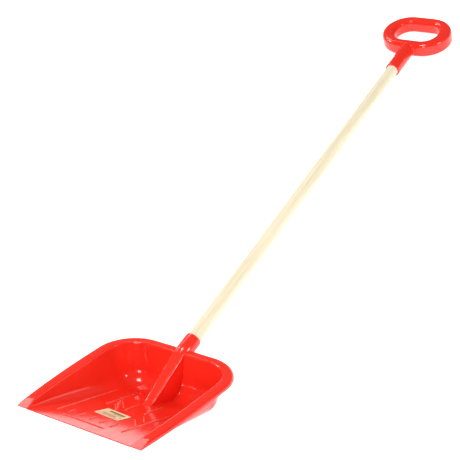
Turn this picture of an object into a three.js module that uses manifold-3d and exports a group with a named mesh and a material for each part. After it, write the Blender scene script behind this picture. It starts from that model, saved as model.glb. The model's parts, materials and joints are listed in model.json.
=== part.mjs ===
// Long-handled plastic scoop shovel: a moulded scoop with a rolled rim and a shaft socket, a wooden
// shaft, a moulded D-shaped grip, a small sticker and one fixing screw at each end of the shaft.
//
// Two working frames, both in millimetres:
//   rim frame    X across the scoop, Y from the front edge towards the grip, Z square to the rim plane
//   shaft frame  X the same, Y along the shaft's axis, Z square to it on the upper side
// The whole shovel is then tilted about X so that it lies on the scoop's bottom and the grip's far bar.

import * as THREE from 'three';
import { ConvexGeometry } from 'three/addons/geometries/ConvexGeometry.js';
import { mergeVertices } from 'three/addons/utils/BufferGeometryUtils.js';
import Module from 'manifold-3d';

const wasm = await Module();
wasm.setup();

// ---- lying pose ----
const LYING_TILT = THREE.MathUtils.degToRad(23.465);   // sets the scoop and the grip down together
const RIM_ORIGIN_Y = -571.014;                         // puts the box's middle over the origin
const RIM_ORIGIN_Z = 141.655;

// ---- scoop ----
const FRONT_DROP = 3.9;            // front edge below the rim plane
const FLOOR_SLOPE = 0.295;         // drop of the floor for each millimetre back from the front edge
const WALL = 1.8;                  // sheet thickness
const CREST_HALF_WIDTH = 97.5;     // inner edge of the rim, at the back
const CREST_NARROWING = 8;         // how much narrower the crest is at the front edge
const CREST_CURVE_LENGTH = 150;    // stretch of side over which the crest widens
const CORNER_RADIUS = 45;          // crest's back corners, seen from above
const CREST_BACK = 233.5;          // crest's back line
const RIM_HALF_WIDTH = 114.5;      // outer edge of the rim, at the back
const RIM_NARROWING = 9.5;         // how much narrower the outer edge is at the front tips
const RIM_CURVE_LENGTH = 165;
const RIM_DROP = 5.4;              // outer lip below the rim plane
const RIM_EDGE_RADIUS = 4.5;
const CREST_RADIUS = 2.6;
const SIDE_LEAN = THREE.MathUtils.degToRad(17);
const BACK_LEAN = THREE.MathUtils.degToRad(8);
const FLOOR_FILLET = 26;           // fillet between floor and walls, at the back
const FLOOR_FILLET_FRONT = 1.2;
const FLOOR_LANDING = 1.5;         // flat floor kept inside the end of each fillet
const CAP_LENGTH = 20;             // sloped end cap of the rim, behind each front tip
const CAP_FILL = 4;                // how much further back the rim is solid

const SIDE_STATIONS = 12;
const SIDE_CROWDING = 1.4;         // above 1, the side's stations crowd towards the front
const CORNER_STATIONS = 12;
const BACK_STATIONS = 3;
const RIM_ARC_STEPS = 4;
const CREST_ARC_STEPS = 4;
const FILLET_ARC_STEPS = 8;

// ---- shaft and its sockets ----
const SHAFT_RISE = THREE.MathUtils.degToRad(21.9);   // shaft axis above the rim plane
const SHAFT_FOOT_Y = 258.9;                          // where the axis crosses the rim plane
const SHAFT_RADIUS = 11;
const GAP = 0.3;                                     // room between touching pieces
const CUT_MARGIN = 5;                                // how far cutting solids reach past a surface
const SHAFT_START = -17;
const SHAFT_END = 784;
const SHAFT_CHAMFER = 1.2;
const ROUND_STEPS = 48;

const SCOOP_SOCKET_MOUTH = 14;
const SCOOP_SOCKET_RADIUS = 13.2;
const SCOOP_SOCKET_START = -27;
const SCOOP_SOCKET_NECK = -16;     // inside this the socket narrows to meet the crest
const SCOOP_SOCKET_FOOT_RADIUS = 8.5;
const RIDGE_FRONT_Y = 150;         // where the ridge's top runs out on the floor
const RIDGE_FLAT_HALF_BACK = 7;
const RIDGE_FLAT_HALF_FRONT = 5.5;
const RIDGE_HALF_BACK = 10;
const RIDGE_HALF_FRONT = 8;
const RIDGE_SHOULDER = 3.5;
const RIDGE_FOOT_SPREAD = 1.5;     // how much wider each side is at the ridge's foot
const RIDGE_DEPTH = 60;
const RIDGE_LEAD = 10;             // room kept ahead of the ridge's front end

// ---- grip ----
const GRIP_SOCKET_MOUTH = 739;
const GRIP_SOCKET_RADIUS = 13.8;
const RING_CENTRE = 857;
const RING_HALF_WIDTH = 68;
const RING_HALF_LENGTH = 50;
const RING_BAR = 20;               // bar thickness in the ring's plane
const RING_END_EXTRA = 5;          // how much thicker the bar is at the ring's two ends
const RING_DEPTH = 28;             // bar thickness square to the ring's plane
const RING_EDGE_RADIUS = 7.5;
const RING_EDGE_STEPS = 5;
const RING_END_STEPS = 18;
const NECK_SINK = 3;               // how far the neck stops short of the ring's hole
const NECK_ROUNDING = 5;

// ---- fixing screws ----
const SCREW_HEAD_RADIUS = 3.3;
const SCREW_HEAD_HEIGHT = 1.9;
const SCREW_SHANK_RADIUS = 1.5;
const SCREW_REACH = 9;             // shank length inside the shaft
const COUNTERBORE_RADIUS = 3.8;
const COUNTERBORE_DEPTH = 1.4;
const SCOOP_SCREW_AT = 0;
const GRIP_SCREW_AT = 753;

// ---- floor relief and sticker, in floor coordinates: across X, and back from the front edge ----
const RELIEF_HEIGHT = 1.2;
const RELIEF_WIDTH = 2.2;
const RELIEF_SINK = 0.6;
const RELIEF_LINES = [
  [-62, 34, -71, 188],
  [-38, 112, -43, 196],
  [-5, 112, -8, 149],
  [22, 122, 19, 172],
  [48, 33, 50, 142],
  [-46, 25, 26, 25],
  [-46, 36, -46, 54],
  [-28, 36, -28, 54],
  [-10, 36, -10, 54],
  [8, 36, 8, 54],
  [26, 36, 26, 54],
  [-31, 142, -13, 120],
  [-31, 124, -13, 102],
  [28, 132, 43, 112],
  [28, 112, 43, 92],
  [28, 92, 43, 72],
];
const LABEL_WIDTH = 43;
const LABEL_HEIGHT = 29;
const LABEL_THICKNESS = 0.35;
const LABEL_X = -3;
const LABEL_BACK = 81.5;
const LABEL_TURN = THREE.MathUtils.degToRad(-5);

const FLOOR_ANGLE = Math.atan(FLOOR_SLOPE);

// ---------------------------------------------------------------- solids

function solidFromArrays(positions, indices) {
  return new wasm.Manifold(new wasm.Mesh({
    numProp: 3,
    vertProperties: new Float32Array(positions),
    triVerts: new Uint32Array(indices),
  }));
}

function solidFromGeometry(geometry) {
  const bare = geometry.clone();
  bare.deleteAttribute('normal');
  bare.deleteAttribute('uv');
  const merged = mergeVertices(bare, 1e-4);
  return solidFromArrays(merged.attributes.position.array, merged.index.array);
}

function geometryFromSolid(solid) {
  const mesh = solid.getMesh();
  const geometry = new THREE.BufferGeometry();
  geometry.setAttribute('position', new THREE.BufferAttribute(mesh.vertProperties, 3));
  geometry.setIndex(new THREE.BufferAttribute(mesh.triVerts, 1));
  geometry.computeVertexNormals();
  return geometry;
}

function intoShaftFrame(geometry) {
  return geometry.rotateX(SHAFT_RISE).translate(0, SHAFT_FOOT_Y, 0);
}

function intoFloorFrame(geometry) {
  return geometry.rotateX(-FLOOR_ANGLE).translate(0, 0, -FRONT_DROP);
}

// A polyline whose inner corners are replaced by arcs, each with its own radius and number of steps.
function roundedPolyline(corners, radii, steps) {
  const points = [corners[0].clone()];
  for (let i = 1; i < corners.length - 1; i += 1) {
    const back = corners[i - 1].clone().sub(corners[i]).normalize();
    const ahead = corners[i + 1].clone().sub(corners[i]).normalize();
    const half = Math.acos(back.dot(ahead)) / 2;
    const tangent = radii[i - 1] / Math.tan(half);
    const bisector = back.clone().add(ahead).normalize();
    const centre = corners[i].clone().addScaledVector(bisector, radii[i - 1] / Math.sin(half));
    const start = corners[i].clone().addScaledVector(back, tangent).sub(centre);
    const end = corners[i].clone().addScaledVector(ahead, tangent).sub(centre);
    const sweep = Math.atan2(start.cross(end), start.dot(end));
    for (let k = 0; k <= steps[i - 1]; k += 1) {
      const turned = start.clone().rotateAround(new THREE.Vector2(), sweep * k / steps[i - 1]);
      points.push(turned.add(centre));
    }
  }
  points.push(corners[corners.length - 1].clone());
  return points;
}

// ---------------------------------------------------------------- scoop

// Stations along the crest from the front of one side to the middle of the back, for X > 0.
// turn is the direction of the outward normal, measured from X.
function crestHalf() {
  const sideEnd = CREST_BACK - CORNER_RADIUS;
  const cornerX = CREST_HALF_WIDTH - CORNER_RADIUS;
  const backWidth = RIM_HALF_WIDTH - CREST_HALF_WIDTH;
  const stations = [];
  for (let i = 0; i < SIDE_STATIONS; i += 1) {
    const y = sideEnd * (i / SIDE_STATIONS) ** SIDE_CROWDING;
    const crest = CREST_HALF_WIDTH - CREST_NARROWING * Math.max(0, 1 - y / CREST_CURVE_LENGTH) ** 2;
    const outer = RIM_HALF_WIDTH - RIM_NARROWING * Math.max(0, 1 - y / RIM_CURVE_LENGTH) ** 2;
    stations.push({ x: crest, y, turn: 0, width: outer - crest });
  }
  for (let i = 0; i < CORNER_STATIONS; i += 1) {
    const turn = Math.PI / 2 * i / CORNER_STATIONS;
    const x = cornerX + CORNER_RADIUS * Math.cos(turn);
    const y = sideEnd + CORNER_RADIUS * Math.sin(turn);
    stations.push({ x, y, turn, width: backWidth });
  }
  for (let i = 0; i <= BACK_STATIONS; i += 1) {
    const x = cornerX * (1 - i / BACK_STATIONS);
    stations.push({ x, y: CREST_BACK, turn: Math.PI / 2, width: backWidth });
  }
  return stations;
}

// Cross-section at one station: its upper and its lower face from the outer lip to the floor, as
// (distance outwards from the crest, height above the rim plane).
function scoopSection(station) {
  const backness = Math.sin(station.turn);
  const lean = SIDE_LEAN + (BACK_LEAN - SIDE_LEAN) * backness;
  const slope = FLOOR_SLOPE * backness;
  const along = Math.min(1, station.y / (CREST_BACK - CORNER_RADIUS));
  const fillet = FLOOR_FILLET_FRONT + (FLOOR_FILLET - FLOOR_FILLET_FRONT) * along;
  const depth = FRONT_DROP + FLOOR_SLOPE * station.y;
  const floorThickness = WALL * Math.hypot(1, FLOOR_SLOPE);
  const wallThickness = WALL / Math.cos(lean);

  const floorUpper = (outwards) => -depth - slope * outwards;
  const footUpper = -depth / (1 + slope * Math.tan(lean));
  const footLower = -(depth + floorThickness + slope * wallThickness) / (1 + slope * Math.tan(lean));
  const tangent = fillet / Math.tan((Math.PI / 2 + lean - Math.atan(slope)) / 2);
  const inner = footUpper * Math.tan(lean) - tangent - FLOOR_LANDING;

  const upper = [
    new THREE.Vector2(station.width, -RIM_DROP),
    new THREE.Vector2(station.width, 0),
    new THREE.Vector2(0, 0),
    new THREE.Vector2(footUpper * Math.tan(lean), footUpper),
    new THREE.Vector2(inner, floorUpper(inner)),
  ];
  const lower = [
    new THREE.Vector2(station.width - WALL, -RIM_DROP),
    new THREE.Vector2(station.width - WALL, -WALL),
    new THREE.Vector2(wallThickness - WALL * Math.tan(lean), -WALL),
    new THREE.Vector2(footLower * Math.tan(lean) + wallThickness, footLower),
    new THREE.Vector2(inner, floorUpper(inner) - floorThickness),
  ];
  const steps = [RIM_ARC_STEPS, CREST_ARC_STEPS, FILLET_ARC_STEPS];
  return {
    upper: roundedPolyline(upper, [RIM_EDGE_RADIUS, CREST_RADIUS, fillet], steps),
    lower: roundedPolyline(lower, [RIM_EDGE_RADIUS - WALL, CREST_RADIUS - WALL, fillet + WALL], steps),
  };
}

function placeOnStation(station, side, point) {
  const x = station.x + point.x * Math.cos(station.turn);
  const y = station.y + point.x * Math.sin(station.turn);
  return [side * x, y, point.y];
}

// Triangles that fill a flat outline of the given vertices, all turned the way asked for.
function fillOutline(positions, outline, facingUp) {
  const contour = outline.map((i) => new THREE.Vector2(positions[3 * i], positions[3 * i + 1]));
  const triangles = [];
  for (const [a, b, c] of THREE.ShapeUtils.triangulateShape(contour, [])) {
    const anticlockwise = THREE.ShapeUtils.area([contour[a], contour[b], contour[c]]) > 0;
    const order = anticlockwise === facingUp ? [a, b, c] : [a, c, b];
    triangles.push(...order.map((k) => outline[k]));
  }
  return triangles;
}

// The bare pan: floor, walls and rolled rim, as one sheet of even thickness.
function panShell() {
  const half = crestHalf();
  const left = half.map((station) => ({ station, side: -1 }));
  const right = half.slice(0, -1).reverse().map((station) => ({ station, side: 1 }));
  const columns = [...left, ...right];
  const sections = columns.map(({ station }) => scoopSection(station));
  const rows = sections[0].upper.length;
  const last = columns.length - 1;

  const positions = [];
  for (const face of ['upper', 'lower']) {
    columns.forEach(({ station, side }, c) => {
      sections[c][face].forEach((point) => positions.push(...placeOnStation(station, side, point)));
    });
  }
  const up = (c, r) => c * rows + r;
  const low = (c, r) => (columns.length + c) * rows + r;
  const quad = (a, b, c, d) => [a, b, c, a, c, d];

  const triangles = [];
  for (let c = 0; c < last; c += 1) {
    for (let r = 0; r < rows - 1; r += 1) {
      triangles.push(...quad(up(c, r), up(c, r + 1), up(c + 1, r + 1), up(c + 1, r)));
      triangles.push(...quad(low(c, r), low(c + 1, r), low(c + 1, r + 1), low(c, r + 1)));
    }
    triangles.push(...quad(up(c, 0), up(c + 1, 0), low(c + 1, 0), low(c, 0)));
  }
  for (let r = 0; r < rows - 1; r += 1) {
    triangles.push(...quad(up(0, r + 1), up(0, r), low(0, r), low(0, r + 1)));
    triangles.push(...quad(up(last, r), up(last, r + 1), low(last, r + 1), low(last, r)));
  }
  const end = rows - 1;
  triangles.push(...quad(up(0, end), low(0, end), low(last, end), up(last, end)));
  triangles.push(...fillOutline(positions, columns.map((_, c) => up(c, end)), true));
  triangles.push(...fillOutline(positions, columns.map((_, c) => low(c, end)), false));
  return solidFromArrays(positions, triangles);
}

// A prism across X whose outline is given as (Y, Z) points.
function prismAcross(outline, fromX, toX) {
  const points = [];
  for (const x of [fromX, toX]) {
    outline.forEach(([y, z]) => points.push(new THREE.Vector3(x, y, z)));
  }
  return solidFromGeometry(new ConvexGeometry(points));
}

// Behind each front tip the hollow rim is closed by a solid end, cut off by a sloping facet.
function closeRimEnds(pan) {
  const fillEnd = CAP_LENGTH + CAP_FILL;
  const fillTop = -WALL / 2;
  const fillBottom = -FRONT_DROP - WALL;
  const filling = [[0, fillBottom], [0, fillTop], [fillEnd, fillTop], [fillEnd, fillBottom]];
  const cutFront = -FRONT_DROP * (1 + CUT_MARGIN / CAP_LENGTH);
  const cut = [[-CUT_MARGIN, cutFront], [-CUT_MARGIN, CUT_MARGIN], [CAP_LENGTH, CUT_MARGIN], [CAP_LENGTH, 0]];
  const innerX = CREST_HALF_WIDTH - CREST_NARROWING;
  const outerX = RIM_HALF_WIDTH - RIM_NARROWING;
  let closed = pan;
  for (const side of [-1, 1]) {
    closed = closed.add(prismAcross(filling, side * (innerX + WALL / 2), side * (outerX - WALL / 2)));
    closed = closed.subtract(prismAcross(cut, side * (innerX - FLOOR_FILLET), side * (outerX + CUT_MARGIN)));
  }
  return closed;
}

// Outline of the ridge across X at one distance back, from its top down into the floor.
function ridgeOutline(y, top, flatHalf, half) {
  const points = [];
  for (const side of [-1, 1]) {
    points.push(new THREE.Vector3(side * flatHalf, y, top));
    points.push(new THREE.Vector3(side * (flatHalf + half) / 2, y, top - RIDGE_SHOULDER / 3));
    points.push(new THREE.Vector3(side * half, y, top - RIDGE_SHOULDER));
    points.push(new THREE.Vector3(side * (half + RIDGE_FOOT_SPREAD), y, top - RIDGE_DEPTH));
  }
  return points;
}

// The ridge that carries the socket's line down onto the floor, kept inside the pan.
function ridge() {
  const frontTop = -FRONT_DROP - FLOOR_SLOPE * RIDGE_FRONT_Y;
  const whole = solidFromGeometry(new ConvexGeometry([
    ...ridgeOutline(CREST_BACK + WALL / 2, 0, RIDGE_FLAT_HALF_BACK, RIDGE_HALF_BACK),
    ...ridgeOutline(RIDGE_FRONT_Y, frontTop, RIDGE_FLAT_HALF_FRONT, RIDGE_HALF_FRONT),
  ]));
  const leadY = RIDGE_FRONT_Y - RIDGE_LEAD;
  const insideFloor = -FRONT_DROP - WALL / 2;
  const cornerY = CREST_BACK - FLOOR_FILLET;
  const cornerZ = insideFloor - FLOOR_SLOPE * cornerY;
  const room = [
    [leadY, insideFloor - FLOOR_SLOPE * leadY],
    [leadY, CUT_MARGIN],
    [CREST_BACK + WALL / 2, CUT_MARGIN],
    [CREST_BACK - FLOOR_FILLET * Math.tan(BACK_LEAN), -FLOOR_FILLET - WALL],
    [cornerY + FLOOR_FILLET / 2, cornerZ + FLOOR_FILLET / 3],
    [cornerY - FLOOR_FILLET / 2, cornerZ + FLOOR_FILLET / 2 * FLOOR_SLOPE],
  ];
  return whole.intersect(prismAcross(room, -2 * RIDGE_HALF_BACK, 2 * RIDGE_HALF_BACK));
}

// A turned solid on the shaft's axis, from an outline of (radius, distance along the axis).
function latheAlongShaft(outline) {
  const points = outline.map(([radius, along]) => new THREE.Vector2(radius, along));
  return solidFromGeometry(intoShaftFrame(new THREE.LatheGeometry(points, ROUND_STEPS)));
}

function cylinderAlongShaft(radius, from, to) {
  return latheAlongShaft([[0, from], [radius, from], [radius, to], [0, to]]);
}

// A cylinder standing square to the shaft, between two heights above its axis.
function cylinderAcrossShaft(radius, along, from, to) {
  const cylinder = new THREE.CylinderGeometry(radius, radius, to - from, ROUND_STEPS / 2);
  cylinder.rotateX(Math.PI / 2).translate(0, along, (from + to) / 2);
  return solidFromGeometry(intoShaftFrame(cylinder));
}

// Room for a fixing screw: its counterbore in the socket's underside and its hole to the bore.
function screwRoom(socketRadius, along) {
  const seatFloor = COUNTERBORE_DEPTH - socketRadius;
  const seat = cylinderAcrossShaft(COUNTERBORE_RADIUS, along, -socketRadius - CUT_MARGIN, seatFloor);
  return seat.add(cylinderAcrossShaft(SCREW_SHANK_RADIUS + GAP, along, -socketRadius, -SHAFT_RADIUS / 2));
}

function reliefBar([fromX, fromBack, toX, toBack]) {
  const length = Math.hypot(toX - fromX, toBack - fromBack);
  const bar = new THREE.BoxGeometry(RELIEF_WIDTH, length, RELIEF_HEIGHT + RELIEF_SINK);
  bar.rotateZ(Math.atan2(fromX - toX, toBack - fromBack));
  bar.translate((fromX + toX) / 2, (fromBack + toBack) / 2, (RELIEF_HEIGHT - RELIEF_SINK) / 2);
  return solidFromGeometry(intoFloorFrame(bar));
}

// The socket behind the scoop, narrowing where it runs in over the rim to meet the crest.
function scoopSocket() {
  return latheAlongShaft([
    [0, SCOOP_SOCKET_START],
    [SCOOP_SOCKET_FOOT_RADIUS, SCOOP_SOCKET_START],
    [SCOOP_SOCKET_RADIUS, SCOOP_SOCKET_NECK],
    [SCOOP_SOCKET_RADIUS, SCOOP_SOCKET_MOUTH],
    [0, SCOOP_SOCKET_MOUTH],
  ]);
}

function scoopSolid() {
  let solid = closeRimEnds(panShell());
  solid = solid.add(ridge());
  solid = solid.add(scoopSocket());
  for (const line of RELIEF_LINES) {
    solid = solid.add(reliefBar(line));
  }
  const bore = cylinderAlongShaft(SHAFT_RADIUS + GAP, SHAFT_START - GAP, SCOOP_SOCKET_MOUTH + CUT_MARGIN);
  return solid.subtract(bore).subtract(screwRoom(SCOOP_SOCKET_RADIUS, SCOOP_SCREW_AT));
}

// ---------------------------------------------------------------- shaft, grip, screws, sticker

function shaftSolid() {
  let solid = latheAlongShaft([
    [0, SHAFT_START],
    [SHAFT_RADIUS - SHAFT_CHAMFER, SHAFT_START],
    [SHAFT_RADIUS, SHAFT_START + SHAFT_CHAMFER],
    [SHAFT_RADIUS, SHAFT_END - SHAFT_CHAMFER],
    [SHAFT_RADIUS - SHAFT_CHAMFER, SHAFT_END],
    [0, SHAFT_END],
  ]);
  for (const along of [SCOOP_SCREW_AT, GRIP_SCREW_AT]) {
    const mouth = -SHAFT_RADIUS - CUT_MARGIN;
    const depth = SCREW_REACH + GAP - SHAFT_RADIUS;
    solid = solid.subtract(cylinderAcrossShaft(SCREW_SHANK_RADIUS + GAP, along, mouth, depth));
  }
  return solid;
}

// Cross-section of the grip's bar, as (distance inwards from the ring's outer edge, height).
function barSection(thickness) {
  const top = RING_DEPTH / 2;
  const corners = [[0, 0], [0, top], [thickness, top], [thickness, -top], [0, -top], [0, 0]]
    .map(([inwards, height]) => new THREE.Vector2(inwards, height));
  const edges = corners.length - 2;
  const radii = new Array(edges).fill(RING_EDGE_RADIUS);
  return roundedPolyline(corners, radii, new Array(edges).fill(RING_EDGE_STEPS)).slice(1, -1);
}

// The ring of the grip: a rounded bar swept round a loop with straight sides and round ends.
function ringSolid() {
  const straight = RING_HALF_WIDTH - RING_HALF_LENGTH;
  const columns = 2 * RING_END_STEPS + 2;
  const positions = [];
  const triangles = [];
  for (let c = 0; c < columns; c += 1) {
    const side = c <= RING_END_STEPS ? 1 : -1;
    const step = side > 0 ? c : c - 1;
    const turn = Math.PI * (step / RING_END_STEPS - 0.5);
    const section = barSection(RING_BAR + RING_END_EXTRA * Math.cos(turn) ** 2);
    const next = (c + 1) % columns;
    section.forEach((point, r) => {
      const radius = RING_HALF_LENGTH - point.x;
      const x = side * straight + radius * Math.cos(turn);
      positions.push(x, RING_CENTRE + radius * Math.sin(turn), point.y);
      const above = (r + 1) % section.length;
      const [a, b] = [c * section.length + r, next * section.length + r];
      const [d, e] = [c * section.length + above, next * section.length + above];
      triangles.push(a, b, e, a, e, d);
    });
  }
  const geometry = new THREE.BufferGeometry();
  geometry.setAttribute('position', new THREE.Float32BufferAttribute(positions, 3));
  geometry.setIndex(triangles);
  return solidFromGeometry(intoShaftFrame(geometry));
}

function gripSolid() {
  const neckEnd = RING_CENTRE - RING_HALF_LENGTH + RING_BAR - NECK_SINK;
  const neck = latheAlongShaft([
    [0, GRIP_SOCKET_MOUTH],
    [GRIP_SOCKET_RADIUS, GRIP_SOCKET_MOUTH],
    [GRIP_SOCKET_RADIUS, neckEnd - NECK_ROUNDING],
    [GRIP_SOCKET_RADIUS - NECK_ROUNDING / 3, neckEnd - NECK_ROUNDING / 3],
    [GRIP_SOCKET_RADIUS - NECK_ROUNDING, neckEnd],
    [0, neckEnd],
  ]);
  let solid = ringSolid().add(neck);
  const boreStart = GRIP_SOCKET_MOUTH - CUT_MARGIN;
  solid = solid.subtract(cylinderAlongShaft(SHAFT_RADIUS + GAP, boreStart, SHAFT_END + GAP));
  return solid.subtract(screwRoom(GRIP_SOCKET_RADIUS, GRIP_SCREW_AT));
}

function screwSolid(socketRadius, along) {
  const seat = COUNTERBORE_DEPTH - socketRadius - GAP;
  const head = cylinderAcrossShaft(SCREW_HEAD_RADIUS, along, seat - SCREW_HEAD_HEIGHT, seat);
  const tip = SCREW_REACH - SHAFT_RADIUS;
  return head.add(cylinderAcrossShaft(SCREW_SHANK_RADIUS, along, seat - SCREW_HEAD_HEIGHT / 2, tip));
}

function labelGeometry() {
  const plate = new THREE.BoxGeometry(LABEL_WIDTH, LABEL_HEIGHT, LABEL_THICKNESS);
  plate.rotateZ(LABEL_TURN).translate(LABEL_X, LABEL_BACK, GAP + LABEL_THICKNESS / 2);
  return intoFloorFrame(plate);
}

// ---------------------------------------------------------------- assembly

function redPlastic() {
  return new THREE.MeshStandardMaterial({ color: 0xe8251a, roughness: 0.28, metalness: 0 });
}

function paleWood() {
  return new THREE.MeshStandardMaterial({ color: 0xf0e6c8, roughness: 0.65, metalness: 0 });
}

function printedPaper() {
  return new THREE.MeshStandardMaterial({ color: 0xe6cf8c, roughness: 0.5, metalness: 0 });
}

function zincSteel() {
  return new THREE.MeshStandardMaterial({ color: 0xb8bbbd, roughness: 0.35, metalness: 1 });
}

function piece(name, geometry, material) {
  const mesh = new THREE.Mesh(geometry, material);
  mesh.name = name;
  return mesh;
}

const shovel = new THREE.Group();
shovel.add(piece('scoop', geometryFromSolid(scoopSolid()), redPlastic()));
shovel.add(piece('shaft', geometryFromSolid(shaftSolid()), paleWood()));
shovel.add(piece('grip', geometryFromSolid(gripSolid()), redPlastic()));
shovel.add(piece('label', labelGeometry(), printedPaper()));
const scoopScrew = screwSolid(SCOOP_SOCKET_RADIUS, SCOOP_SCREW_AT);
shovel.add(piece('scoop_screw', geometryFromSolid(scoopScrew), zincSteel()));
const gripScrew = screwSolid(GRIP_SOCKET_RADIUS, GRIP_SCREW_AT);
shovel.add(piece('grip_screw', geometryFromSolid(gripScrew), zincSteel()));

// The rim frame is tilted into the lying pose and set down with its box centred over the origin.
shovel.rotation.x = -LYING_TILT;
shovel.position.set(0, RIM_ORIGIN_Y, RIM_ORIGIN_Z);

const model = new THREE.Group();
model.add(shovel);

export default model;
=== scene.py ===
"""Long-handled plastic scoop shovel, lying on a pale studio floor.

Shapes are worked out in millimetres in the same frames as the CAD model and turned into metres as
each mesh is made:
  rim frame    X across the scoop, Y from the front edge towards the grip, Z square to the rim plane
  shaft frame  X the same, Y along the shaft's axis, Z square to it on the upper side
  floor frame  X the same, Y back along the pan's floor from the front edge, Z square to the floor
"""
import json
import math

import bmesh
import bpy
from mathutils import Matrix, Vector


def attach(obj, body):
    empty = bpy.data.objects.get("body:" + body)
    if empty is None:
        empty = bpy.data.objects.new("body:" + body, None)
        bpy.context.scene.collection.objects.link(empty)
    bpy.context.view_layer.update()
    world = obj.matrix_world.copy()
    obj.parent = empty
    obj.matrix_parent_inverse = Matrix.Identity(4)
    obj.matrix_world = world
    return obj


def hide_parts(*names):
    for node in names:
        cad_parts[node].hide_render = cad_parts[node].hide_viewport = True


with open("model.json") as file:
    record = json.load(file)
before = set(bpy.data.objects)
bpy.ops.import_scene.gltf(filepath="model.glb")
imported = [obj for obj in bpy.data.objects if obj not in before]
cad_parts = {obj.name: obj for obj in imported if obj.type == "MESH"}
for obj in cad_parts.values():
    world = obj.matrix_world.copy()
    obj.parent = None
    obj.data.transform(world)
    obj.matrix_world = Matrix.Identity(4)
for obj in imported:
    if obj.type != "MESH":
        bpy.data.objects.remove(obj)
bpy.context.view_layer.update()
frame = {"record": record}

MM = 0.001
SHARP_ANGLE = math.radians(32)

# ---- scoop ----
FRONT_DROP = 3.9
FLOOR_SLOPE = 0.295
FLOOR_ANGLE = math.atan(FLOOR_SLOPE)
WALL = 1.8
FLOOR_THICKNESS = WALL * math.hypot(1, FLOOR_SLOPE)
PAN_MOUNT_BACK = 90
CREST_HALF_WIDTH = 97.5
CREST_NARROWING = 8
CREST_CURVE_LENGTH = 150
CORNER_RADIUS = 45
CREST_BACK = 233.5
RIM_HALF_WIDTH = 114.5
RIM_NARROWING = 9.5
RIM_CURVE_LENGTH = 165
RIM_DROP = 5.4
RIM_EDGE_RADIUS = 4.5
CREST_RADIUS = 3.2
SIDE_LEAN = math.radians(17)
BACK_LEAN = math.radians(8)
FLOOR_FILLET = 26
FLOOR_FILLET_FRONT = 1.2
FLOOR_LANDING = 1.5
CAP_LENGTH = 20
CAP_FILL = 4
CAP_STEP = 0.01

CAP_STATIONS = 8
SIDE_STATIONS = 40
CORNER_STATIONS = 36
BACK_STATIONS = 14
RIM_ARC_STEPS = 8
CREST_ARC_STEPS = 8
FILLET_ARC_STEPS = 20

# ---- shaft, sockets and ridge ----
SHAFT_RISE = math.radians(21.9)
SHAFT_FOOT_Y = 258.9
SHAFT_RADIUS = 11
GAP = 0.3
SHAFT_START = -17
SHAFT_END = 784
SHAFT_CHAMFER = 1.2
ROUND_STEPS = 96
SCOOP_SOCKET_START = -27
SCOOP_SOCKET_NECK = -16
SCOOP_SOCKET_MOUTH = 14
SCOOP_SOCKET_RADIUS = 13.2
SCOOP_SOCKET_FOOT_RADIUS = 8.5
SCOOP_SOCKET_BEND_IN = 0.8
SCOOP_SOCKET_BEND_FRONT = 1.6
SCOOP_SOCKET_BEND_BACK = 1.5
MOUTH_LIP = 0.7
MOUTH_BEND_IN = 0.14
MOUTH_BEND_BACK = 0.21
BORE_LIP = 0.28
RIDGE_FRONT_Y = 150
RIDGE_HALF_BACK = 10
RIDGE_HALF_FRONT = 7.5
RIDGE_EDGE_RADIUS = 3
RIDGE_FOOT_FLARE = 2
RIDGE_EDGE_SHARE = 0.55
RIDGE_FLARE_SHARE = 0.4
RIDGE_LEAST_HEIGHT = 0.01
RIDGE_SECTIONS = 60
RIDGE_EDGE_STEPS = 6
RIDGE_FLARE_STEPS = 5

# ---- grip ----
GRIP_SOCKET_MOUTH = 739
GRIP_SOCKET_RADIUS = 13.8
NECK_SINK = 3
NECK_ROUNDING = 6
NECK_BEND_IN = 1.5
NECK_BEND_BACK = 2
RING_CENTRE = 857
RING_HALF_WIDTH = 68
RING_HALF_LENGTH = 50
RING_BAR = 20
RING_END_EXTRA = 5
RING_DEPTH = 28
RING_EDGE_RADIUS = 7.5
RING_EDGE_STEPS = 10
RING_END_STEPS = 40
GRIP_VOXEL = 1.1
GRIP_SMOOTHING = 6
GRIP_SMOOTHING_FACTOR = 0.5

# ---- fixing screws ----
SCREW_HEAD_RADIUS = 3.3
SCREW_HEAD_HEIGHT = 1.9
SCREW_HEAD_EDGE = 0.7
SCREW_DOME_STEPS = 6
SCREW_STEPS = 36
SLOT_HALF_LENGTH = 1.9
SLOT_HALF_WIDTH = 0.35
SLOT_DEPTH = 1.1
SCREW_SHANK_RADIUS = 1.5
SCREW_REACH = 9
COUNTERBORE_RADIUS = 3.8
COUNTERBORE_DEPTH = 1.4
HOLE_REACH = 2
SCOOP_SCREW_AT = 0
GRIP_SCREW_AT = 753

# ---- cutters: how far they stand out of what they cut ----
CUTTER_LAP = 1
COUNTERBORE_LAP = 5
BORE_LAP = 3
CUTTER_STEPS = 40

# ---- floor relief: (across, back) of both ends of each line ----
RELIEF_WIDTH = 2.2
RELIEF_HEIGHT = 1.2
RELIEF_SINK = 0.6
RELIEF_ARC_STEPS = 8
RELIEF_FULLNESS = 0.6
# Distance from either end of a line, and the share of its full height there.
RELIEF_TAPER = [(0, 0.05), (0.5, 0.7), (1.6, 1)]
RELIEF_LINES = [
    (-62, 34, -71, 188),
    (-38, 112, -43, 196),
    (-5, 112, -8, 149),
    (22, 122, 19, 172),
    (48, 33, 50, 142),
    (-46, 25, 26, 25),
    (-46, 36, -46, 54),
    (-28, 36, -28, 54),
    (-10, 36, -10, 54),
    (8, 36, 8, 54),
    (26, 36, 26, 54),
    (-31, 142, -13, 120),
    (-31, 124, -13, 102),
    (28, 132, 43, 112),
    (28, 112, 43, 92),
    (28, 92, 43, 72),
]

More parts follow.
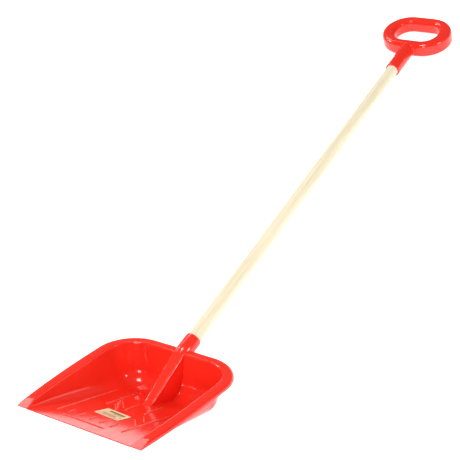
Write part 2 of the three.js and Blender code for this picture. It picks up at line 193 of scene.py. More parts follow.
# ---- sticker ----
LABEL_WIDTH = 43
LABEL_HEIGHT = 29
LABEL_THICKNESS = 0.35
LABEL_X = -3
LABEL_BACK = 81.5
LABEL_TURN = math.radians(-5)
LABEL_CORNER = 1.2
LABEL_CORNER_STEPS = 5
PRINT_LIFT = 0.03
PRINT_LAYER_SHARE = 0.2
# Printed bars: middle across, middle up, width, height, material index.
LABEL_PRINT = [
    (0, 6, 36, 9.5, 1),
    (2.5, 7.4, 27, 4.2, 2),
    (8, 2.9, 17, 1.6, 2),
    (0, -1.6, 35, 1.1, 3),
    (0, -11.4, 35, 1.1, 3),
    (-17.4, -6.5, 1.1, 10.9, 3),
    (17.4, -6.5, 1.1, 10.9, 3),
    (-2, -4.9, 24, 2, 3),
    (0, -8.4, 28, 1.3, 2),
]

# ---- camera, in the rim frame ----
CAMERA_PLACE = Vector((865.2, -968.6, 788.4))
CAMERA_FORWARD = Vector((-0.5020, 0.7806, -0.3725))
CAMERA_RIGHT = Vector((0.8427, 0.5384, -0.0074))
CAMERA_LENS = 88.2
SENSOR_WIDTH = 36

# ---- light: place, size and power of each panel, all turned towards LIGHT_AIM ----
WORLD_LIGHT = 0.2
FLOOR_GLOW = 0.9
FLOOR_RADIUS = 60000
LIGHT_PANELS = [
    ((-0.1, -0.3, 2.4), (0.7, 0.7), 31),
    ((-1.5, 1.2, 1.45), (1.6, 0.5), 11),
    ((-2.2, 0.1, 1.6), (0.5, 0.5), 20),
    ((2.0, 0.3, 0.9), (0.4, 0.6), 13),
    ((0.6, -2.2, 1.4), (0.6, 0.6), 19),
]
LIGHT_AIM = (0, -0.2, 0.05)

# ---- colours: the dark and the light end of each ----
PLASTIC_RED = ((0.82, 0.022, 0.010), (0.88, 0.029, 0.014))
# Painted highlight: a lighter red for the floor's relief lines, standing in for the light that their
# rounded tops catch.
RELIEF_HIGHLIGHT_RED = ((0.85, 0.080, 0.055), (0.90, 0.120, 0.085))
WOOD_GRAIN = ((0.66, 0.56, 0.36), (0.85, 0.77, 0.57))
WOOD_FIGURE = ((0.78, 0.68, 0.46), (0.87, 0.79, 0.61))
ZINC = ((0.52, 0.53, 0.55), (0.70, 0.71, 0.72))
LABEL_PAPER = ((0.80, 0.60, 0.36), (0.86, 0.68, 0.44))
LABEL_GOLD = ((0.66, 0.55, 0.16), (0.74, 0.63, 0.24))
LABEL_DARK_INK = ((0.035, 0.028, 0.018), (0.07, 0.055, 0.03))
LABEL_RED_INK = ((0.30, 0.05, 0.02), (0.38, 0.07, 0.03))
STUDIO_WHITE = ((0.93, 0.93, 0.93), (0.95, 0.95, 0.95))


# ---------------------------------------------------------------- frames

def rim_frame():
    """The rim frame in the row frame, worked out from the record's mount on the pan's flat underside."""
    mount = frame["record"]["mounts"][0]
    _, axis_y, axis_z = mount["axis"]
    tilt = math.atan2(-axis_y, -axis_z) - FLOOR_ANGLE
    turn = Matrix.Rotation(-tilt, 4, "X")
    mount_height = -FRONT_DROP - FLOOR_SLOPE * PAN_MOUNT_BACK - FLOOR_THICKNESS
    on_pan = turn @ Vector((0, PAN_MOUNT_BACK * MM, mount_height * MM))
    return Matrix.Translation(Vector(mount["pos_m"]) - on_pan) @ turn


RIM = rim_frame()
SHAFT = RIM @ Matrix.Translation((0, SHAFT_FOOT_Y * MM, 0)) @ Matrix.Rotation(SHAFT_RISE, 4, "X")
FLOOR = RIM @ Matrix.Translation((0, 0, -FRONT_DROP * MM)) @ Matrix.Rotation(-FLOOR_ANGLE, 4, "X")


# ---------------------------------------------------------------- mesh helpers

def make_object(name, points, faces, place):
    """A smooth-shaded object from points in millimetres in the frame given by place."""
    mesh = bpy.data.meshes.new(name)
    mesh.from_pydata([place @ (Vector(p) * MM) for p in points], [], faces)
    obj = bpy.data.objects.new(name, mesh)
    bpy.context.scene.collection.objects.link(obj)
    tidy_faces(obj)
    return obj


def tidy_faces(obj):
    """Turns every face outwards and shades the mesh smooth, except at sharp edges."""
    work = bmesh.new()
    work.from_mesh(obj.data)
    bmesh.ops.recalc_face_normals(work, faces=work.faces)
    for face in work.faces:
        face.smooth = True
    work.to_mesh(obj.data)
    work.free()
    obj.data.set_sharp_from_angle(angle=SHARP_ANGLE)


def take_evaluated(obj):
    """Replaces the object's mesh by the result of its modifiers."""
    graph = bpy.context.evaluated_depsgraph_get()
    result = bpy.data.meshes.new_from_object(obj.evaluated_get(graph))
    obj.modifiers.clear()
    obj.data = result


def cut(obj, cutter):
    """Cuts one object out of another and removes the cutter."""
    modifier = obj.modifiers.new("cut", "BOOLEAN")
    modifier.operation = "DIFFERENCE"
    modifier.solver = "EXACT"
    modifier.object = cutter
    take_evaluated(obj)
    bpy.data.objects.remove(cutter)
    tidy_faces(obj)


def join(name, objects):
    """One object from several."""
    merged = bmesh.new()
    for obj in objects:
        merged.from_mesh(obj.data)
    mesh = bpy.data.meshes.new(name)
    merged.to_mesh(mesh)
    merged.free()
    for obj in objects:
        bpy.data.objects.remove(obj)
    result = bpy.data.objects.new(name, mesh)
    bpy.context.scene.collection.objects.link(result)
    tidy_faces(result)
    return result


def loft(name, sections, place, ring=False):
    """A closed body through closed sections of equal length. A ring has no end faces."""
    count = len(sections[0])
    points = [p for section in sections for p in section]
    faces = []
    for s in range(len(sections) if ring else len(sections) - 1):
        after = (s + 1) % len(sections)
        for k in range(count):
            side = (k + 1) % count
            faces.append((s * count + k, after * count + k, after * count + side, s * count + side))
    if not ring:
        faces.append(tuple(range(count)))
        faces.append(tuple(range(len(points) - count, len(points))))
    return make_object(name, points, faces, place)


def lathe(name, outline):
    """A turned body on the shaft's axis, from (radius, along) points that start and end on the axis."""
    first, *rim, last = outline
    points = [(0, first[1], 0), (0, last[1], 0)]
    for k in range(ROUND_STEPS):
        turn = 2 * math.pi * k / ROUND_STEPS
        points += [(r * math.cos(turn), along, r * math.sin(turn)) for r, along in rim]
    count = len(rim)
    faces = []
    for k in range(ROUND_STEPS):
        here = 2 + k * count
        there = 2 + (k + 1) % ROUND_STEPS * count
        faces.append((0, here, there))
        faces.append((1, there + count - 1, here + count - 1))
        for r in range(count - 1):
            faces.append((here + r, here + r + 1, there + r + 1, there + r))
    return make_object(name, points, faces, SHAFT)


def circle(radius, along, height, steps):
    """Points of a circle square to Z, with its centre at X = 0."""
    turns = [2 * math.pi * k / steps for k in range(steps)]
    return [(radius * math.cos(t), along + radius * math.sin(t), height) for t in turns]


def rectangle(x, y, width, length, z):
    """Corners of a rectangle square to Z, round its middle."""
    return [
        (x - width / 2, y - length / 2, z),
        (x + width / 2, y - length / 2, z),
        (x + width / 2, y + length / 2, z),
        (x - width / 2, y + length / 2, z),
    ]


def cross_cylinder(name, radius, along, low, high):
    """A cylinder standing square to the shaft between two heights above its axis."""
    sections = [circle(radius, along, height, CUTTER_STEPS) for height in (low, high)]
    return loft(name, sections, SHAFT)


def rounded_polyline(corners, radii, steps):
    """A polyline in a plane whose inner corners are replaced by arcs."""
    points = [Vector(corners[0])]
    for corner, before, after, radius, count in zip(corners[1:-1], corners, corners[2:], radii, steps):
        middle = Vector(corner)
        back = (Vector(before) - middle).normalized()
        ahead = (Vector(after) - middle).normalized()
        half = back.angle(ahead) / 2
        centre = middle + (back + ahead).normalized() * (radius / math.sin(half))
        start = middle + back * (radius / math.tan(half)) - centre
        end = middle + ahead * (radius / math.tan(half)) - centre
        sweep = math.atan2(start.x * end.y - start.y * end.x, start.dot(end))
        for k in range(count + 1):
            points.append(centre + Matrix.Rotation(sweep * k / count, 2) @ start)
    points.append(Vector(corners[-1]))
    return points


# ---------------------------------------------------------------- scoop

def side_distances():
    """Distances back from the front edge at which the sides of the pan are cut into sections."""
    cap_end = CAP_LENGTH + CAP_FILL
    side_end = CREST_BACK - CORNER_RADIUS
    front = [CAP_LENGTH * i / CAP_STATIONS for i in range(CAP_STATIONS + 1)]
    rest_start = cap_end + CAP_STEP
    rest = [rest_start + (side_end - cap_end) * i / SIDE_STATIONS for i in range(SIDE_STATIONS)]
    return front + [cap_end] + rest


def crest_half():
    """Stations (x, y, turn of the outward normal, rim width) from the front to the middle of the back."""
    side_end = CREST_BACK - CORNER_RADIUS
    corner_x = CREST_HALF_WIDTH - CORNER_RADIUS
    back_width = RIM_HALF_WIDTH - CREST_HALF_WIDTH
    stations = []
    for y in side_distances():
        crest = CREST_HALF_WIDTH - CREST_NARROWING * max(0, 1 - y / CREST_CURVE_LENGTH) ** 2
        outer = RIM_HALF_WIDTH - RIM_NARROWING * max(0, 1 - y / RIM_CURVE_LENGTH) ** 2
        stations.append((crest, y, 0, outer - crest))
    for i in range(CORNER_STATIONS):
        turn = math.pi / 2 * i / CORNER_STATIONS
        x = corner_x + CORNER_RADIUS * math.cos(turn)
        y = side_end + CORNER_RADIUS * math.sin(turn)
        stations.append((x, y, turn, back_width))
    for i in range(BACK_STATIONS + 1):
        stations.append((corner_x * (1 - i / BACK_STATIONS), CREST_BACK, math.pi / 2, back_width))
    return stations


def scoop_section(station):
    """Upper and lower face at one station as (outwards from the crest, height above the rim plane)."""
    _, y, turn, width = station
    backness = math.sin(turn)
    lean = SIDE_LEAN + (BACK_LEAN - SIDE_LEAN) * backness
    slope = FLOOR_SLOPE * backness
    along = min(1, y / (CREST_BACK - CORNER_RADIUS))
    fillet = FLOOR_FILLET_FRONT + (FLOOR_FILLET - FLOOR_FILLET_FRONT) * along
    depth = FRONT_DROP + FLOOR_SLOPE * y
    wall_thickness = WALL / math.cos(lean)

    foot_upper = -depth / (1 + slope * math.tan(lean))
    foot_lower = -(depth + FLOOR_THICKNESS + slope * wall_thickness) / (1 + slope * math.tan(lean))
    tangent = fillet / math.tan((math.pi / 2 + lean - math.atan(slope)) / 2)
    inner = foot_upper * math.tan(lean) - tangent - FLOOR_LANDING
    inner_height = -depth - slope * inner

    upper = [(width, -RIM_DROP), (width, 0), (0, 0)]
    upper += [(foot_upper * math.tan(lean), foot_upper), (inner, inner_height)]
    lower = [(width - WALL, -RIM_DROP), (width - WALL, -WALL)]
    lower += [(wall_thickness - WALL * math.tan(lean), -WALL)]
    lower += [(foot_lower * math.tan(lean) + wall_thickness, foot_lower)]
    lower += [(inner, inner_height - FLOOR_THICKNESS)]
    steps = [RIM_ARC_STEPS, CREST_ARC_STEPS, FILLET_ARC_STEPS]
    upper = rounded_polyline(upper, [RIM_EDGE_RADIUS, CREST_RADIUS, fillet], steps)
    lower = rounded_polyline(lower, [RIM_EDGE_RADIUS - WALL, CREST_RADIUS - WALL, fillet + WALL], steps)
    return close_rim_end(y, upper, lower)


def close_rim_end(y, upper, lower):
    """Near the front the rim is solid underneath and its top slopes down to the front edge.

    The rim's rows are its first point, then the points of its outer arc and of the crest's arc.
    """
    if y <= CAP_LENGTH:
        facet = -FRONT_DROP * (1 - y / CAP_LENGTH)
        upper = [Vector((p.x, min(p.y, facet))) for p in upper]
    if y <= CAP_LENGTH + CAP_FILL:
        rim_rows = 1 + (RIM_ARC_STEPS + 1) + (CREST_ARC_STEPS + 1)
        lower = [Vector((p.x, -RIM_DROP)) if r < rim_rows else p for r, p in enumerate(lower)]
    return upper, lower


def on_station(station, side, point):
    """A section's point in the rim frame. side is 1 on the right of the pan and -1 on the left."""
    x, y, turn, _ = station
    return side * (x + point.x * math.cos(turn)), y + point.x * math.sin(turn), point.y


def pan():
    """Floor, walls and rolled rim, as one sheet."""
    half = crest_half()
    columns = [(station, -1) for station in half]
    columns += [(station, 1) for station in reversed(half[:-1])]
    sections = [scoop_section(station) for station, _ in columns]
    rows = len(sections[0][0])
    last = len(columns) - 1
    points = []
    for face in (0, 1):
        for (station, side), section in zip(columns, sections):
            points += [on_station(station, side, p) for p in section[face]]

    def up(c, r):
        return c * rows + r

    def low(c, r):
        return (len(columns) + c) * rows + r

    faces = []
    for c in range(last):
        for r in range(rows - 1):
            faces.append((up(c, r), up(c, r + 1), up(c + 1, r + 1), up(c + 1, r)))
            faces.append((low(c, r), low(c + 1, r), low(c + 1, r + 1), low(c, r + 1)))
        faces.append((up(c, 0), up(c + 1, 0), low(c + 1, 0), low(c, 0)))
    for r in range(rows - 1):
        faces.append((up(0, r + 1), up(0, r), low(0, r), low(0, r + 1)))
        faces.append((up(last, r), up(last, r + 1), low(last, r + 1), low(last, r)))
    end = rows - 1
    faces.append((up(0, end), low(0, end), low(last, end), up(last, end)))
    faces.append(tuple(up(c, end) for c in reversed(range(last + 1))))
    faces.append(tuple(low(c, end) for c in range(last + 1)))
    return make_object("pan", points, faces, RIM)


def pan_height():
    """A function that gives the height of the pan's inside at X = 0 for a distance back."""
    upper, _ = scoop_section(crest_half()[-1])
    line = [(CREST_BACK + p.x, p.y) for p in upper]

    def height(y):
        for (y1, z1), (y0, z0) in zip(line, line[1:]):
            if y0 <= y <= y1 and y1 > y0:
                return z0 + (z1 - z0) * (y - y0) / (y1 - y0)
        return -FRONT_DROP - FLOOR_SLOPE * y

    return height


def ridge_section(y, top, base, half):
    """One closed section of the ridge, with rounded shoulders and a foot that flares onto the pan."""
    room = max(top - base, RIDGE_LEAST_HEIGHT)
    shoulder = min(RIDGE_EDGE_RADIUS, RIDGE_EDGE_SHARE * room)
    flare = min(RIDGE_FOOT_FLARE, RIDGE_FLARE_SHARE * room)
    side = []
    for k in range(RIDGE_EDGE_STEPS + 1):
        turn = math.pi / 2 * k / RIDGE_EDGE_STEPS
        x = half - shoulder + shoulder * math.sin(turn)
        side.append((x, top - shoulder + shoulder * math.cos(turn)))
    for k in range(RIDGE_FLARE_STEPS + 1):
        turn = math.pi / 2 * k / RIDGE_FLARE_STEPS
        x = half + flare - flare * math.cos(turn)
        side.append((x, base + flare - flare * math.sin(turn)))
    side.append((half + flare, base - WALL / 2))
    right = [(x, y, z) for x, z in side]
    left = [(-x, y, z) for x, z in reversed(side)]
    return right + left


def ridge():
    """The tapering ridge from the crest at the back down to the floor."""
    height = pan_height()
    front_top = height(RIDGE_FRONT_Y)
    sections = []
    for i in range(RIDGE_SECTIONS + 1):
        t = i / RIDGE_SECTIONS
        y = CREST_BACK + (RIDGE_FRONT_Y - CREST_BACK) * t
        top = front_top * t
        half = RIDGE_HALF_BACK + (RIDGE_HALF_FRONT - RIDGE_HALF_BACK) * t
        sections.append(ridge_section(y, top, height(y), half))
    return loft("ridge", sections, RIM)


def scoop_socket():
    """The scoop's socket, turned round the shaft's axis and bored out, with its screw's seat."""
    outline = [(0, SCOOP_SOCKET_START), (SCOOP_SOCKET_FOOT_RADIUS, SCOOP_SOCKET_START)]
    bend_radius = SCOOP_SOCKET_RADIUS - SCOOP_SOCKET_BEND_IN
    outline += [(bend_radius, SCOOP_SOCKET_NECK - SCOOP_SOCKET_BEND_FRONT)]
    outline += [(SCOOP_SOCKET_RADIUS, SCOOP_SOCKET_NECK + SCOOP_SOCKET_BEND_BACK)]
    outline += mouth(SCOOP_SOCKET_RADIUS, SCOOP_SOCKET_MOUTH)
    bottom = SHAFT_START - GAP
    outline += [(SHAFT_RADIUS + GAP, bottom), (0, bottom)]
    socket = lathe("scoop_socket", outline)
    cut_screw_room(socket, SCOOP_SOCKET_RADIUS, SCOOP_SCREW_AT)
    return socket


def mouth(radius, along):
    """The rounded lip of a socket, from its outside to its bore."""
    bore = SHAFT_RADIUS + GAP
    return [
        (radius, along - MOUTH_LIP),
        (radius - MOUTH_BEND_IN, along - MOUTH_BEND_BACK),
        (radius - MOUTH_LIP, along),
        (bore + BORE_LIP, along),
        (bore, along - BORE_LIP),
    ]


def cut_screw_room(obj, socket_radius, along):
    """Cuts the seat of a screw's head and the hole for its shank into the underside of a socket."""
    seat = COUNTERBORE_DEPTH - socket_radius
    cut(obj, cross_cylinder("seat", COUNTERBORE_RADIUS, along, seat - COUNTERBORE_LAP, seat))
    hole_top = HOLE_REACH - SHAFT_RADIUS
    hole_radius = SCREW_SHANK_RADIUS + GAP
    cut(obj, cross_cylinder("hole", hole_radius, along, seat - CUTTER_LAP, hole_top))


def relief_line(line):
    """A low bar with a rounded top and tapered ends on the pan's floor."""
    x0, y0, x1, y1 = line
    along = Vector((x1 - x0, y1 - y0)).normalized()
    across = Vector((along.y, -along.x))
    length = math.hypot(x1 - x0, y1 - y0)
    sections = []
    far_end = [(length - distance, scale) for distance, scale in reversed(RELIEF_TAPER)]
    for distance, scale in RELIEF_TAPER + far_end:
        profile = [(-RELIEF_WIDTH / 2, -RELIEF_SINK), (RELIEF_WIDTH / 2, -RELIEF_SINK)]
        for k in range(RELIEF_ARC_STEPS + 1):
            turn = math.pi * k / RELIEF_ARC_STEPS
            height = scale * RELIEF_HEIGHT * math.sin(turn) ** RELIEF_FULLNESS
            profile.append((RELIEF_WIDTH / 2 * math.cos(turn), height))
        start = Vector((x0, y0)) + along * distance
        sections.append([(start.x + across.x * a, start.y + across.y * a, z) for a, z in profile])
    return loft("relief", sections, FLOOR)


def build_scoop():
    """The whole moulding. Its relief lines take the second material, a lighter red that is a painted
    highlight on their rounded tops.
    """
    lines = join("relief", [relief_line(line) for line in RELIEF_LINES])
    for polygon in lines.data.polygons:
        polygon.material_index = 1
    return join("scoop_moulding", [pan(), ridge(), scoop_socket(), lines])


# ---------------------------------------------------------------- shaft

def build_shaft():
    """The dowel with chamfered ends and a pilot hole for each screw."""
    end_radius = SHAFT_RADIUS - SHAFT_CHAMFER
    outline = [
        (0, SHAFT_START),
        (end_radius, SHAFT_START),
        (SHAFT_RADIUS, SHAFT_START + SHAFT_CHAMFER),
        (SHAFT_RADIUS, SHAFT_END - SHAFT_CHAMFER),
        (end_radius, SHAFT_END),
        (0, SHAFT_END),
    ]
    shaft = lathe("wooden_shaft", outline)
    low = -SHAFT_RADIUS - CUTTER_LAP
    high = SCREW_REACH + GAP - SHAFT_RADIUS
    for along in (SCOOP_SCREW_AT, GRIP_SCREW_AT):
        cut(shaft, cross_cylinder("pilot", SCREW_SHANK_RADIUS + GAP, along, low, high))
    return shaft


# ---------------------------------------------------------------- grip

def bar_section(thickness):
    """Cross-section of the grip's bar as (inwards from the ring's outer edge, height)."""
    top = RING_DEPTH / 2
    corners = [(0, 0), (0, top), (thickness, top), (thickness, -top), (0, -top), (0, 0)]
    return rounded_polyline(corners, [RING_EDGE_RADIUS] * 4, [RING_EDGE_STEPS] * 4)[1:-1]


def grip_ring():
    """The ring of the grip: a rounded bar swept round a loop with straight sides and round ends."""
    straight = RING_HALF_WIDTH - RING_HALF_LENGTH
    sections = []
    for side in (1, -1):
        for i in range(RING_END_STEPS + 1):
            turn = side * math.pi / 2 * (2 * i / RING_END_STEPS - 1)
            section = []
            for point in bar_section(RING_BAR + RING_END_EXTRA * math.cos(turn) ** 2):
                radius = RING_HALF_LENGTH - point.x
                x = side * (straight + radius * math.cos(turn))
                section.append((x, RING_CENTRE + side * radius * math.sin(side * turn), point.y))
            sections.append(section)
    return loft("ring", sections, SHAFT, ring=True)


def grip_neck():
    """The solid neck that the grip's socket is bored into, ending inside the ring's near bar."""
    end = RING_CENTRE - RING_HALF_LENGTH + RING_BAR - NECK_SINK
    outline = [(0, GRIP_SOCKET_MOUTH), (GRIP_SOCKET_RADIUS, GRIP_SOCKET_MOUTH)]
    outline += [(GRIP_SOCKET_RADIUS, end - NECK_ROUNDING)]
    outline += [(GRIP_SOCKET_RADIUS - NECK_BEND_IN, end - NECK_BEND_BACK)]
    outline += [(GRIP_SOCKET_RADIUS - NECK_ROUNDING, end), (0, end)]
    return lathe("neck", outline)


def build_grip():
    """Ring and neck melted into one skin, which rounds the corner between them, then bored out."""
    grip = join("grip_moulding", [grip_ring(), grip_neck()])
    remesh = grip.modifiers.new("melt", "REMESH")
    remesh.mode = "VOXEL"
    remesh.voxel_size = GRIP_VOXEL * MM
    soften = grip.modifiers.new("soften", "SMOOTH")
    soften.factor = GRIP_SMOOTHING_FACTOR
    soften.iterations = GRIP_SMOOTHING
    take_evaluated(grip)
    bore = SHAFT_RADIUS + GAP
    start = GRIP_SOCKET_MOUTH - BORE_LAP
    end = SHAFT_END + GAP
    cut(grip, lathe("bore", [(0, start), (bore, start), (bore, end), (0, end)]))
    cut_screw_room(grip, GRIP_SOCKET_RADIUS, GRIP_SCREW_AT)
    return grip


# ---------------------------------------------------------------- screws

def build_screw(name, socket_radius, along):
    """A domed screw head with a cross recess, and its shank."""
    seat = COUNTERBORE_DEPTH - socket_radius - GAP
    outline = [(SCREW_SHANK_RADIUS, SCREW_REACH - SHAFT_RADIUS), (SCREW_SHANK_RADIUS, seat)]
    edge = seat - SCREW_HEAD_EDGE
    outline += [(SCREW_HEAD_RADIUS, seat), (SCREW_HEAD_RADIUS, edge)]
    dome = SCREW_HEAD_HEIGHT - SCREW_HEAD_EDGE
    for k in range(1, SCREW_DOME_STEPS):
        turn = math.pi / 2 * k / SCREW_DOME_STEPS
        outline.append((SCREW_HEAD_RADIUS * math.cos(turn), edge - dome * math.sin(turn)))
    sections = [circle(radius, along, height, SCREW_STEPS) for radius, height in outline]
    screw = loft(name, sections, SHAFT)
    face = seat - SCREW_HEAD_HEIGHT
    long, short = 2 * SLOT_HALF_LENGTH, 2 * SLOT_HALF_WIDTH
    for width, length in ((long, short), (short, long)):
        heights = (face - CUTTER_LAP, face + SLOT_DEPTH)
        slot = [rectangle(0, along, width, length, height) for height in heights]
        cut(screw, loft("slot", slot, SHAFT))
    return screw


# ---------------------------------------------------------------- sticker

def build_label():
    """A thin plate with rounded corners, and plain printed bars laid on it."""
    corners = [(LABEL_WIDTH / 2, LABEL_HEIGHT / 2), (-LABEL_WIDTH / 2, LABEL_HEIGHT / 2)]
    corners += [(-LABEL_WIDTH / 2, -LABEL_HEIGHT / 2), (LABEL_WIDTH / 2, -LABEL_HEIGHT / 2)]
    start = (LABEL_WIDTH / 2, 0)
    steps = [LABEL_CORNER_STEPS] * 4
    outline = rounded_polyline([start, *corners, start], [LABEL_CORNER] * 4, steps)[:-1]
    count = len(outline)
    points = []
    for height in (0, LABEL_THICKNESS):
        points += [(p.x, p.y, height) for p in outline]
    faces = [tuple(range(count)), tuple(range(count, 2 * count))]
    faces += [(k, (k + 1) % count, count + (k + 1) % count, count + k) for k in range(count)]
    materials = [0] * len(faces)
    for layer, (x, y, width, height, material) in enumerate(LABEL_PRINT):
        lift = LABEL_THICKNESS + PRINT_LIFT * (1 + PRINT_LAYER_SHARE * layer)
        low = len(points)
        high = low + 4
        points += rectangle(x, y, width, height, LABEL_THICKNESS / 2)
        points += rectangle(x, y, width, height, lift)
        faces.append((high, high + 1, high + 2, high + 3))
        faces.append((low + 3, low + 2, low + 1, low))
        for k in range(4):
            side = (k + 1) % 4
            faces.append((low + k, low + side, high + side, high + k))
        materials += [material] * 6
    lift = Matrix.Translation((LABEL_X * MM, LABEL_BACK * MM, GAP * MM))
    place = FLOOR @ lift @ Matrix.Rotation(LABEL_TURN, 4, "Z")
    label = make_object("sticker", points, faces, place)
    for polygon, material in zip(label.data.polygons, materials):
        polygon.material_index = material
    return label


# ---------------------------------------------------------------- materials

class Nodes:
    """A new material with a Principled shader, and short ways to add nodes to it."""

    def __init__(self, name):
        self.material = bpy.data.materials.new(name)
        self.material.use_nodes = True
        self.tree = self.material.node_tree
        self.shader = self.tree.nodes["Principled BSDF"]
        self.coordinates = self.tree.nodes.new("ShaderNodeTexCoord").outputs["Object"]

    def link(self, source, target):
        """Joins an output socket to an input socket."""
        self.tree.links.new(source, target)

    def stretched(self, stretch):
        """Coordinates stretched along the shaft frame's axes."""
        mapping = self.tree.nodes.new("ShaderNodeMapping")
        mapping.vector_type = "TEXTURE"
        mapping.inputs["Rotation"].default_value = SHAFT.to_euler()
        mapping.inputs["Scale"].default_value = stretch
        self.link(self.coordinates, mapping.inputs["Vector"])
        return mapping.outputs["Vector"]

    def noise(self, scale, detail, roughness=0.5, stretch=(1, 1, 1)):
        """A noise pattern from 0 to 1."""
        noise = self.tree.nodes.new("ShaderNodeTexNoise")
        noise.inputs["Scale"].default_value = scale
        noise.inputs["Detail"].default_value = detail
        noise.inputs["Roughness"].default_value = roughness
        self.link(self.stretched(stretch), noise.inputs["Vector"])
        return noise.outputs["Fac"]

    def ramp(self, source, colours, low=0.3, high=0.7):
        """Turns a pattern into colours from the dark one at low to the light one at high."""
        ramp = self.tree.nodes.new("ShaderNodeValToRGB")
        for element, position, colour in zip(ramp.color_ramp.elements, (low, high), colours):
            element.position = position
            element.color = (*colour, 1)
        self.link(source, ramp.inputs["Fac"])
        return ramp.outputs["Color"]

    def spread(self, source, low, high, from_low=0.3, from_high=0.7):
        """Turns a pattern into a number from low to high."""
        spread = self.tree.nodes.new("ShaderNodeMapRange")
        spread.inputs["From Min"].default_value = from_low
        spread.inputs["From Max"].default_value = from_high
        spread.inputs["To Min"].default_value = low
        spread.inputs["To Max"].default_value = high
        self.link(source, spread.inputs["Value"])
        return spread.outputs["Result"]

    def bump(self, source, distance, strength, after=None):
        """Normals bent by a pattern, on top of another bump where one is given."""
        bump = self.tree.nodes.new("ShaderNodeBump")
        bump.inputs["Strength"].default_value = strength
        bump.inputs["Distance"].default_value = distance
        self.link(source, bump.inputs["Height"])
        if after is not None:
            self.link(after, bump.inputs["Normal"])
        return bump.outputs["Normal"]

    def put(self, **values):
        """Sets sockets of the shader: a number or colour directly, an output by a link."""
        for name, value in values.items():
            target = self.shader.inputs[name.replace("_", " ")]
            if isinstance(value, bpy.types.NodeSocket):
                self.link(value, target)
            else:
                target.default_value = value


def red_plastic(name, colours, smoothest, roughest):
    """Glossy moulded plastic, with faint waves, a fine skin and scuffs that dull it in places."""
    nodes = Nodes(name)
    drift = nodes.noise(9, detail=2)
    scuffs = nodes.noise(160, detail=6, roughness=0.65, stretch=(1, 4, 1))
    skin = nodes.noise(900, detail=3)
    waves = nodes.noise(35, detail=2)
    fine = nodes.bump(skin, 0.00004, 0.5)
    nodes.put(
        Base_Color=nodes.ramp(drift, colours),
        Roughness=nodes.spread(scuffs, smoothest, roughest, 0.35, 0.75),
        Normal=nodes.bump(waves, 0.0003, 0.3, after=fine),
        Specular_IOR_Level=0.45,
    )
    return nodes.material


def pale_wood():
    """Bare wood with a fine grain over a broader figure, both long in the shaft's direction."""
    nodes = Nodes("pale_wood")
    grain = nodes.noise(420, detail=8, roughness=0.6, stretch=(1, 50, 1))
    figure = nodes.noise(60, detail=3, stretch=(1, 16, 1))
    mix = nodes.tree.nodes.new("ShaderNodeMix")
    mix.data_type = "RGBA"
    mix.inputs["Factor"].default_value = 0.5
    nodes.link(nodes.ramp(grain, WOOD_GRAIN, 0.35, 0.6), mix.inputs["A"])
    nodes.link(nodes.ramp(figure, WOOD_FIGURE), mix.inputs["B"])
    nodes.put(
        Base_Color=mix.outputs["Result"],
        Roughness=nodes.spread(grain, 0.72, 0.55),
        Normal=nodes.bump(grain, 0.00012, 0.5),
        Specular_IOR_Level=0.3,
    )
    return nodes.material


def printed(name, colours, roughness):
    """Ink or paper: a colour that varies a little, with a fine tooth."""
    nodes = Nodes(name)
    fibre = nodes.noise(700, detail=5)
    nodes.put(
        Base_Color=nodes.ramp(fibre, colours),
        Roughness=nodes.spread(fibre, roughness - 0.06, roughness + 0.06),
        Normal=nodes.bump(fibre, 0.00002, 0.4),
    )
    return nodes.material


def zinc_steel():
    """Zinc-plated steel with a fine brushed grain."""
    nodes = Nodes("zinc_steel")
    brush = nodes.noise(900, detail=5, stretch=(1, 10, 1))
    nodes.put(
        Base_Color=nodes.ramp(brush, ZINC),
        Metallic=1.0,
        Roughness=nodes.spread(brush, 0.22, 0.42),
        Normal=nodes.bump(brush, 0.00003, 0.5),
    )
    return nodes.material


def studio_floor():
    """Matt white with a slight glow, so that it stays near white."""
    nodes = Nodes("studio_floor")
    speck = nodes.noise(30, detail=3)
    nodes.put(
        Base_Color=nodes.ramp(speck, STUDIO_WHITE),
        Roughness=0.9,
        Specular_IOR_Level=0.1,
        Emission_Color=(1, 1, 1, 1),
        Emission_Strength=FLOOR_GLOW,
    )
    return nodes.material


# ---------------------------------------------------------------- scene

def add_floor():
    """A wide round floor, so that its edge is a level horizon from every side."""
    points = circle(FLOOR_RADIUS, 0, 0, ROUND_STEPS)
    floor = make_object("floor", points, [tuple(range(ROUND_STEPS))], Matrix.Identity(4))
    floor.data.materials.append(studio_floor())


def add_camera():
    """The camera, placed and turned in the rim frame."""
    data = bpy.data.cameras.new("camera")
    data.lens = CAMERA_LENS
    data.sensor_width = SENSOR_WIDTH
    camera = bpy.data.objects.new("camera", data)
    bpy.context.scene.collection.objects.link(camera)
    up = CAMERA_RIGHT.cross(CAMERA_FORWARD)
    turn = Matrix((CAMERA_RIGHT, up, -CAMERA_FORWARD)).transposed().to_4x4()
    camera.matrix_world = RIM @ Matrix.Translation(CAMERA_PLACE * MM) @ turn
    bpy.context.scene.camera = camera


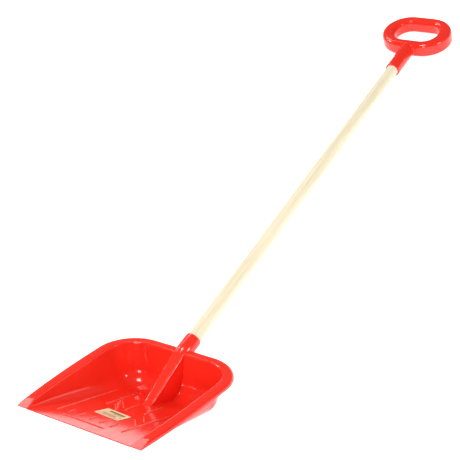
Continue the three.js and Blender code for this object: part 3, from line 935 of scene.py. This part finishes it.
def add_light_panel(name, place, size, power):
    """A soft rectangular light turned towards the scoop."""
    data = bpy.data.lights.new(name, "AREA")
    data.shape = "RECTANGLE"
    data.size, data.size_y = size
    data.energy = power
    light = bpy.data.objects.new(name, data)
    bpy.context.scene.collection.objects.link(light)
    light.location = place
    light.rotation_euler = (Vector(LIGHT_AIM) - Vector(place)).to_track_quat("-Z", "Y").to_euler()


def add_world():
    """Faint even white light from all round."""
    world = bpy.data.worlds.new("world")
    world.use_nodes = True
    background = world.node_tree.nodes["Background"]
    background.inputs["Color"].default_value = (1, 1, 1, 1)
    background.inputs["Strength"].default_value = WORLD_LIGHT
    bpy.context.scene.world = world


def add_lights():
    """World and panels, shown with the view transform that keeps the red saturated."""
    bpy.context.scene.view_settings.view_transform = "Standard"
    add_world()
    for number, (place, size, power) in enumerate(LIGHT_PANELS, 1):
        add_light_panel(f"panel_{number}", place, size, power)


def finish_piece(obj, nodes, materials):
    """Gives a piece its materials, puts it on the root body and hides the CAD parts that it replaces."""
    for material in materials:
        obj.data.materials.append(material)
    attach(obj, "root")
    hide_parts(*nodes)


def main():
    """Builds the whole scene."""
    red = red_plastic("red_plastic", PLASTIC_RED, smoothest=0.09, roughest=0.20)
    # Painted highlight on the relief lines: a lighter red in place of the light that their tops catch.
    relief_highlight = red_plastic("relief_painted_highlight_plastic", RELIEF_HIGHLIGHT_RED, smoothest=0.22, roughest=0.35)
    steel = zinc_steel()
    inks = [
        printed("label_paper", LABEL_PAPER, roughness=0.42),
        printed("label_gold", LABEL_GOLD, roughness=0.40),
        printed("label_dark_ink", LABEL_DARK_INK, roughness=0.45),
        printed("label_red_ink", LABEL_RED_INK, roughness=0.45),
    ]
    finish_piece(build_scoop(), ["scoop"], [red, relief_highlight])
    finish_piece(build_shaft(), ["shaft"], [pale_wood()])
    finish_piece(build_grip(), ["grip"], [red])
    finish_piece(build_label(), ["label"], inks)
    scoop_screw = build_screw("scoop_fixing", SCOOP_SOCKET_RADIUS, SCOOP_SCREW_AT)
    finish_piece(scoop_screw, ["scoop_screw"], [steel])
    grip_screw = build_screw("grip_fixing", GRIP_SOCKET_RADIUS, GRIP_SCREW_AT)
    finish_piece(grip_screw, ["grip_screw"], [steel])
    add_floor()
    add_camera()
    add_lights()


main()
